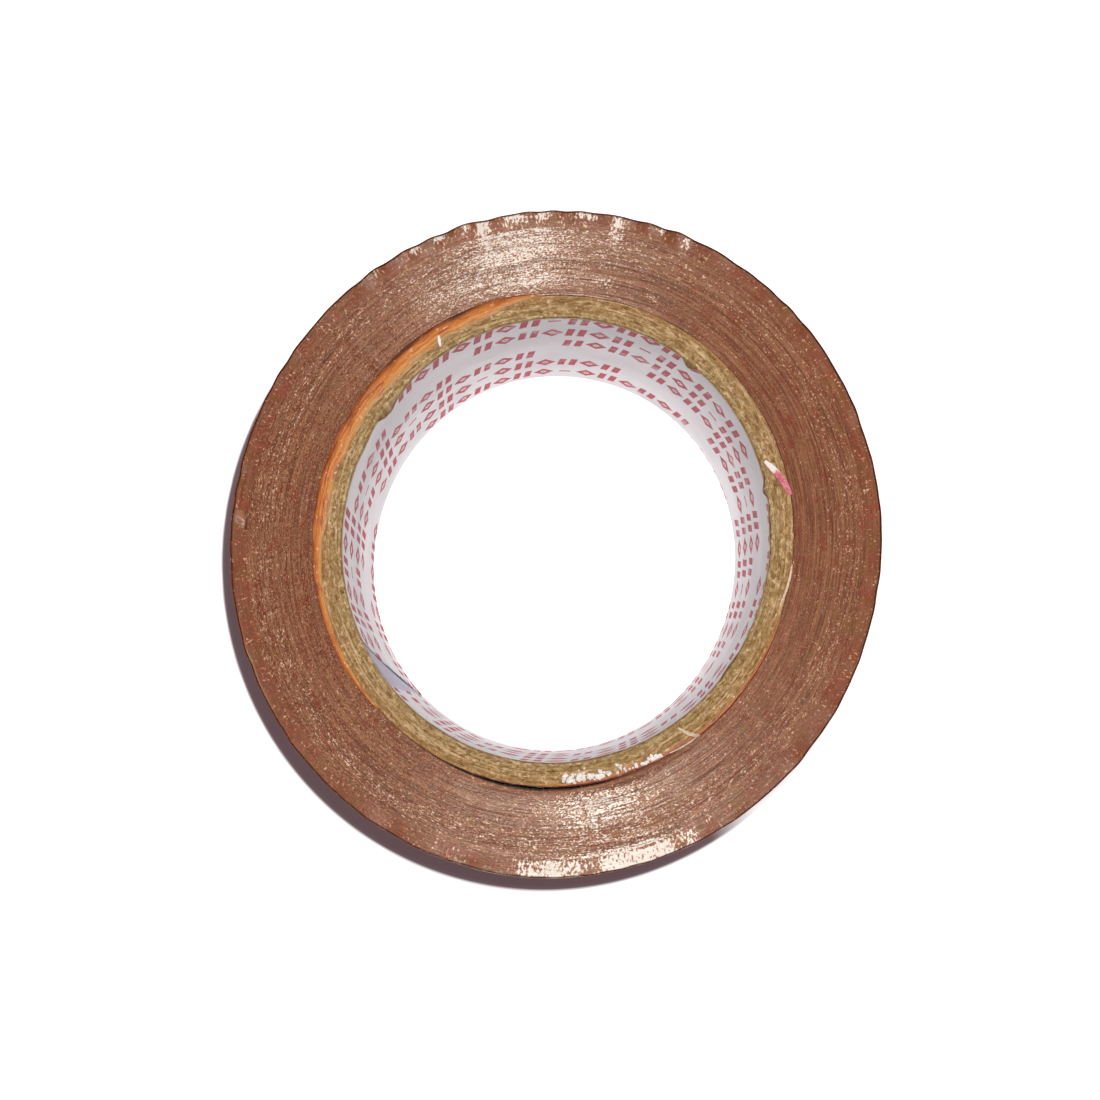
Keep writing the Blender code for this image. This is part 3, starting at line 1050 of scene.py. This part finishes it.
def make_loose_wraps():
    """The loose outer turns, whose edges ripple and lie at uneven heights."""
    steps = 22
    fine = layered(steps + 1, WALL_TURN, 60, 0.6, 0)

    def relief(across, turn):
        height = 0.006 * MM * field_at(fine, across, turn, WALL_TURN) - 0.12 * MM
        height += 0.11 * MM * across * sample(RIPPLE_TOP, turn) * (0.3 + 1.2 * bump_at(turn, 92.0, 50.0))
        height += 0.03 * MM * sample(RIPPLE_MID, turn)
        height += 0.16 * MM * crease(across, turn) - 0.25 * MM * slit(across, turn)
        return height - np.where(across < 0.001, 0.02 * MM, 0.0)

    def shift(across, up, turn):
        return across ** 2 * ripple(up, turn)

    def tones(across, up, turn):
        # Painted highlight along the outer rim at the lower left
        rim_highlight = 0.8 * np.exp(-((across - 0.95) / 0.05) ** 2) * bump_at(turn, 204.0, 14.0)
        # Painted shade along the outer rim, and at the upper right along the inner edge
        rim = 0.5 * between(across, 0.93, 1.0)
        rim = rim + 0.25 * np.exp(-(across / 0.05) ** 2) * bump_at(turn, 25.0, 60.0)
        # Painted sheen in the fan of light at the top; painted highlights on the pulled-up edges are added
        # below
        fleck = 0.02 + 0.10 * bump_at(turn, 92.0, 40.0) + 0.18 * bump_at(turn, 97.0, 18.0)
        return {
            # Painted highlights on the raised crease and the rim
            "crease": 0.7 * crease(across, turn) + rim_highlight,
            # Painted shade in the slit and along the rims
            "line": np.clip(rim + 0.8 * slit(across, turn), 0.0, 1.0),
            "fleck": fleck + gleam(across, turn),
            "dull": 0.4,
            "grit": 0.7 * grit_share(turn) * (1.0 - 0.6 * bump_at(turn, 188.0, 45.0)),
        }

    inner = BANK_RADII["outer"] - 0.02 * MM
    outer = LOOSE_RADIUS + 0.12 * MM
    loose = ring_solid("wound_loose", inner, outer, steps, WALL_TURN, tones, wall_steps=12,
                       face_relief=relief, wall_shift=shift)
    film, surface = loose_film("loose_film"), film_surface("loose_surface")
    dress(loose, film, "outer_film", "loose_wraps", wall=surface)


FILM_THICKNESS = 0.12 * MM
ARC_STEPS = 3.0                 # per degree, along the outermost turn
STRIP_LAP = 0.15                # degrees, where the free end meets the turn that it leaves
TIP_GAP = 0.1                   # degrees, between the tip of the free end and the last turn


def make_film_arc(name, start, stop):
    """One length of the outermost turn, with the ripples of the turns below it."""
    azimuth = np.radians(np.linspace(start, stop, max(round((stop - start) * ARC_STEPS), 2) + 1))
    outer = ROLL_RADIUS - 0.02 * MM

    def shift(across, up, turn):
        return ripple(up, turn)

    def tones(across, up, turn):
        # Painted shade along the top edge of the last turn, most at the upper right
        return {"line": 0.15 + 0.75 * bump_at(turn, 40.0, 60.0)}

    return ring_solid(name, outer - FILM_THICKNESS, outer, 1, azimuth, tones, closed=False,
                      back_steps=1, wall_steps=24, wall_shift=shift)


def make_last_wrap_and_end():
    """The last turn, and the free end as strips that each reach across one hinge line."""
    surface, edge = film_surface("film_surface"), loose_film("film_edge")
    lap_start = PEEL_AZIMUTH - STRIP_LAP
    turn = make_film_arc("outer_turn", END_AZIMUTH + TIP_GAP, lap_start + 360.0)
    dress(turn, edge, "outer_film", "last_wrap", wall=surface)

    half = END_STEP / 2.0
    middle = WIDTH / 2.0
    for number, (parent, child, azimuth) in enumerate(HINGES, 1):
        start = lap_start if number == 1 else azimuth - half
        strip = make_film_arc(f"end_strip_{number}", start, azimuth + half)
        dress(strip, edge, "outer_film", f"film_end_{number}", body=None, wall=surface)
        ring_point(ROLL_RADIUS, start, middle)
        ring_point(ROLL_RADIUS, azimuth + half, middle)
        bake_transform(strip)
    tip = make_film_arc("end_tip", END_AZIMUTH - half, END_AZIMUTH)
    dress(tip, edge, "outer_film", body=HINGES[-1][1], wall=surface)


# ---------------------------------------------------------------- paper scraps and fibres

# (name, paper, radii of its two ends in mm, their azimuths, lift, sway and widest width in mm)
SCRAPS = (
    ("sliver_pink", "pink", (42.3, 39.3), (10.3, 20.2), 0.35, 0.25, 1.25),
    ("sliver_white", "white", (41.4, 39.6), (120.2, 121.2), 0.20, 0.10, 0.50),
    ("curl_white", "cream", (42.5, 39.2), (305.8, 302.4), 0.90, 0.50, 0.62),
    ("thread_edge", "cream", (42.1, 42.4), (297.6, 305.6), 0.10, 0.12, 0.26),
    ("thread_white", "cream", (41.6, 42.3), (343.0, 353.5), 0.15, 0.15, 0.42),
)
SCRAP_POINTS = 14
SCRAP_THICKNESS = 0.09 * MM
GLINT_CRUMBS = 110
FIBRES = 420


def ribbon(name, points, widths, thickness):
    """A thin flat strip along a list of points, as wide at each as `widths` says."""
    verts = []
    for i, point in enumerate(points):
        before, after = points[max(i - 1, 0)], points[min(i + 1, len(points) - 1)]
        side = (after - before).cross(Vector((0.0, 0.0, 1.0))).normalized()
        for sign, drop in ((1.0, 0.0), (-1.0, 0.0), (-1.0, thickness), (1.0, thickness)):
            verts.append(point + side * sign * widths[i] / 2.0 - Vector((0.0, 0.0, drop)))
    last = 4 * (len(points) - 1)
    faces = [
        [a + k, a + (k + 1) % 4, a + 4 + (k + 1) % 4, a + 4 + k]
        for a in range(0, last, 4) for k in range(4)
    ]
    faces += [[3, 2, 1, 0], [last, last + 1, last + 2, last + 3]]
    return mesh_object(name, verts, faces, {"along": np.repeat(np.linspace(0.0, 1.0, len(points)), 4)})


def make_scraps(papers):
    """Torn slivers and threads that lie in an arch over the core's end."""
    for name, paper, radii, azimuths, lift, sway, widest in SCRAPS:
        first, last = radii[0] * MM, radii[1] * MM
        points, widths = [], []
        for i in range(SCRAP_POINTS):
            t = i / (SCRAP_POINTS - 1)
            arch = math.sin(math.pi * t)
            radius = first + (last - first) * t + sway * MM * arch
            azimuth = azimuths[0] + (azimuths[1] - azimuths[0]) * t
            point = ring_point(radius, azimuth, WIDTH + 0.10 * MM)
            point.z += lift * MM * arch ** 1.2
            points.append(point)
            widths.append(widest * MM * (0.25 + 0.75 * math.sin(math.pi * (0.12 + 0.8 * t))))
        dress(ribbon(name, points, widths, SCRAP_THICKNESS), papers[paper], "printed_paper")


def make_glint_crumbs(material):
    """Crumbs of white paper at the lower edge of the core: painted highlights that stand in for the glints
    of crumpled film there.
    """
    corners = 5
    verts, faces = [], []
    for _ in range(GLINT_CRUMBS):
        azimuth = 271.5 + 24.0 * rng.uniform(0.0, 1.0) ** 1.4
        spread = 0.85 if azimuth < 286.0 else 0.35
        radius = (41.8 - abs(rng.normal(0.0, spread))) * MM
        centre = ring_point(max(radius, 39.6 * MM), azimuth, WIDTH + rng.uniform(-0.05, 0.12) * MM)
        size = rng.uniform(0.16, 0.44) * MM
        turn = rng.uniform(0.0, TAU)
        base = len(verts)
        for k in range(corners):
            angle = turn + TAU * k / corners
            reach = size * rng.uniform(0.6, 1.3)
            height = rng.uniform(-0.3, 0.3) * size
            verts.append(centre + Vector((math.cos(angle) * reach, math.sin(angle) * reach, height)))
        peak = Vector((0.0, 0.0, size * 0.7))
        verts += [centre + peak, centre - peak]
        for k in range(corners):
            following = (k + 1) % corners
            faces.append([base + k, base + following, base + corners])
            faces.append([base + following, base + k, base + corners + 1])
    dress(mesh_object("painted_glint_crumbs", verts, faces, smooth_angle=20.0), material, "printed_paper")


def make_fibres(material):
    """Short fibres that stand off the cut end of the board and off the liner's torn edge."""
    steps = 5
    verts, faces = [], []
    for index in range(FIBRES):
        azimuth = rng.uniform(0.0, 360.0)
        on_liner = index % 3 == 0
        radius = BORE_RADIUS + 0.3 * MM if on_liner else rng.uniform(BORE_RADIUS + 0.5 * MM, CORE_RADIUS)
        length = rng.uniform(0.5, 1.6) * MM
        heading = math.radians(azimuth + 90.0 + rng.normal(0.0, 35.0))
        rise = rng.uniform(0.0, 0.35)
        point = ring_point(radius, azimuth, WIDTH - rng.uniform(0.02, 0.10) * MM)
        width = rng.uniform(0.02, 0.045) * MM
        bend = rng.normal(0.0, 0.9)
        base = len(verts)
        for k in range(steps + 1):
            t = k / steps
            angle = heading + bend * t
            if k:
                climb = rise * (1.0 - 1.6 * t)
                point = point + Vector((math.cos(angle), math.sin(angle), climb)) * (length / steps)
            side = Vector((-math.sin(angle), math.cos(angle), 0.0)) * width * (1.0 - 0.12 * k)
            verts += [point + side, point - side, point + Vector((0.0, 0.0, 1.6 * width))]
        tail = base + 3 * steps
        for a in range(base, tail, 3):
            faces += [[a + m, a + (m + 1) % 3, a + 3 + (m + 1) % 3, a + 3 + m] for m in range(3)]
        faces += [[base + 2, base + 1, base], [tail, tail + 1, tail + 2]]
    dress(mesh_object("board_fibres", verts, faces), material, "core_board")


# ---------------------------------------------------------------- stage, light and camera

STAGE_SIZE = 3.0

# Profile of a sweep far behind the roll, as (radius, height): its curved foot and its wall
SWEEP_FOOT = (
    (STAGE_SIZE - 0.2, -0.001),
    (STAGE_SIZE, 0.0),
    (STAGE_SIZE + 0.3, 0.05),
    (STAGE_SIZE + 0.5, 0.15),
    (STAGE_SIZE + 0.7, 0.4),
)
SWEEP_WALL = (
    (STAGE_SIZE + 0.9, 1.0),
    (STAGE_SIZE + 0.9, 4.0),
)


def make_sweep(name, profile, *glow):
    """A surface of revolution about the roll's axis; `glow` is a ramp of its light by height."""
    angles = np.linspace(0.0, TAU, 96, endpoint=False)
    points = [(r * math.cos(a), r * math.sin(a), z) for r, z in profile for a in angles]
    grid = np.arange(len(points)).reshape(len(profile), len(angles))
    after = np.roll(grid, -1, axis=1)
    faces = np.stack([grid[:-1], after[:-1], after[1:], grid[1:]], -1).reshape(-1, 4)
    sweep = mesh_object(name, points, faces)
    look = Look(f"{name}_paper", Base_Color=(0, 0, 0), Specular_IOR_Level=0.0, Emission_Strength=1.0)
    height = look.separate(look.place)[2]
    look.set(Emission_Color=look.ramp(height, *glow))
    sweep.data.materials.append(look.material)
    sweep.visible_diffuse = False
    sweep.visible_shadow = False
    return sweep


def make_stage():
    """The floor, and a sweep behind it."""
    corners = [(x * STAGE_SIZE, y * STAGE_SIZE, 0.0) for x, y in ((-1, -1), (1, -1), (1, 1), (-1, 1))]
    floor = mesh_object("floor", corners, [[0, 1, 2, 3]])
    floor.location.z = -0.05 * MM
    floor.data.materials.append(floor_material())

    # Seen by the camera only, so that a low view has no dark horizon
    backdrop = make_sweep("backdrop", SWEEP_FOOT + SWEEP_WALL, (0.0, 1.0), (1.0, 1.0))
    backdrop.visible_glossy = False
    # Its reflection in the film, which fades upwards
    reflected = make_sweep("backdrop_gleam", SWEEP_FOOT, (0.0, 1.0), (0.2, 0.0))
    reflected.visible_camera = False


def area_light(name, place, size, power, colour, glossy=True):
    """A disc of light that faces the middle of the roll's top face."""
    light = bpy.data.lights.new(name, "AREA")
    light.shape = "DISK"
    light.size = size
    light.energy = power
    light.color = colour
    item = add_object(name, light)
    item.location = place
    item.rotation_mode = "QUATERNION"
    item.rotation_quaternion = (Vector(place) - Vector((0.0, 0.0, WIDTH))).to_track_quat("Z", "Y")
    item.visible_glossy = glossy


def make_lights():
    """A small key light beside the camera, a fill from behind the roll, and warm light all round."""
    area_light("key", KEY_PLACE, size=0.003, power=0.50, colour=(1.0, 1.0, 0.99))
    area_light("fill", (0.45, 0.58, 0.45), size=0.5, power=0.9, colour=(1.0, 0.95, 0.95), glossy=False)
    world = bpy.data.worlds.new("studio")
    world.use_nodes = True
    background = world.node_tree.nodes["Background"]
    background.inputs["Color"].default_value = (1.0, 0.80, 0.86, 1.0)
    background.inputs["Strength"].default_value = 0.21
    bpy.context.scene.world = world


# The camera looks almost straight down, from a little below the middle of the roll
CAMERA_SIDE = -1.9 * MM
CAMERA_BACK = -26.7 * MM
CAMERA_ABOVE_FACE = 253.65 * MM
CAMERA_TILT = (5.5, -0.19, 0.08)
CAMERA_LENS = 47.8


def make_camera():
    data = bpy.data.cameras.new("camera")
    data.lens = CAMERA_LENS
    data.sensor_width = 36.0
    data.clip_start = 0.01
    data.clip_end = 20.0
    camera = add_object("camera", data)
    camera.location = (CAMERA_SIDE, CAMERA_BACK, WIDTH + CAMERA_ABOVE_FACE)
    camera.rotation_euler = Euler([math.radians(angle) for angle in CAMERA_TILT], "XYZ")
    bpy.context.scene.camera = camera


make_liner()
for number, (radius, tint) in enumerate(zip(PLY_RADII, PLY_TINTS), 1):
    make_ply(number, radius, tint)

amber = amber_film("amber_film")
make_amber_turns(amber)
make_amber_flap(amber)
make_amber_tail(amber)
make_amber_lip(amber)

make_bank("inner", winding_bore, 24, (156, 102, 74), (108, 59, 39))
make_bank("middle", BANK_RADII["inner"] + BANK_GAP, 54, (160, 107, 77), (111, 63, 42))
make_bank("outer", BANK_RADII["middle"] + BANK_GAP, 26, (157, 104, 75), (110, 62, 41))
make_loose_wraps()
make_last_wrap_and_end()

papers = {
    "pink": scrap_paper("scrap_pink", (226, 146, 152), (196, 92, 110), (246, 236, 230)),
    "white": scrap_paper("scrap_white", (255, 254, 250), (244, 238, 230)),
    "cream": scrap_paper("scrap_cream", (232, 214, 186), (204, 176, 140)),
}
make_scraps(papers)
make_glint_crumbs(papers["white"])
make_fibres(scrap_paper("fibre_paper", (206, 184, 144), (160, 134, 90)))

make_stage()
make_lights()
make_camera()
bpy.context.scene.view_settings.view_transform = "Standard"
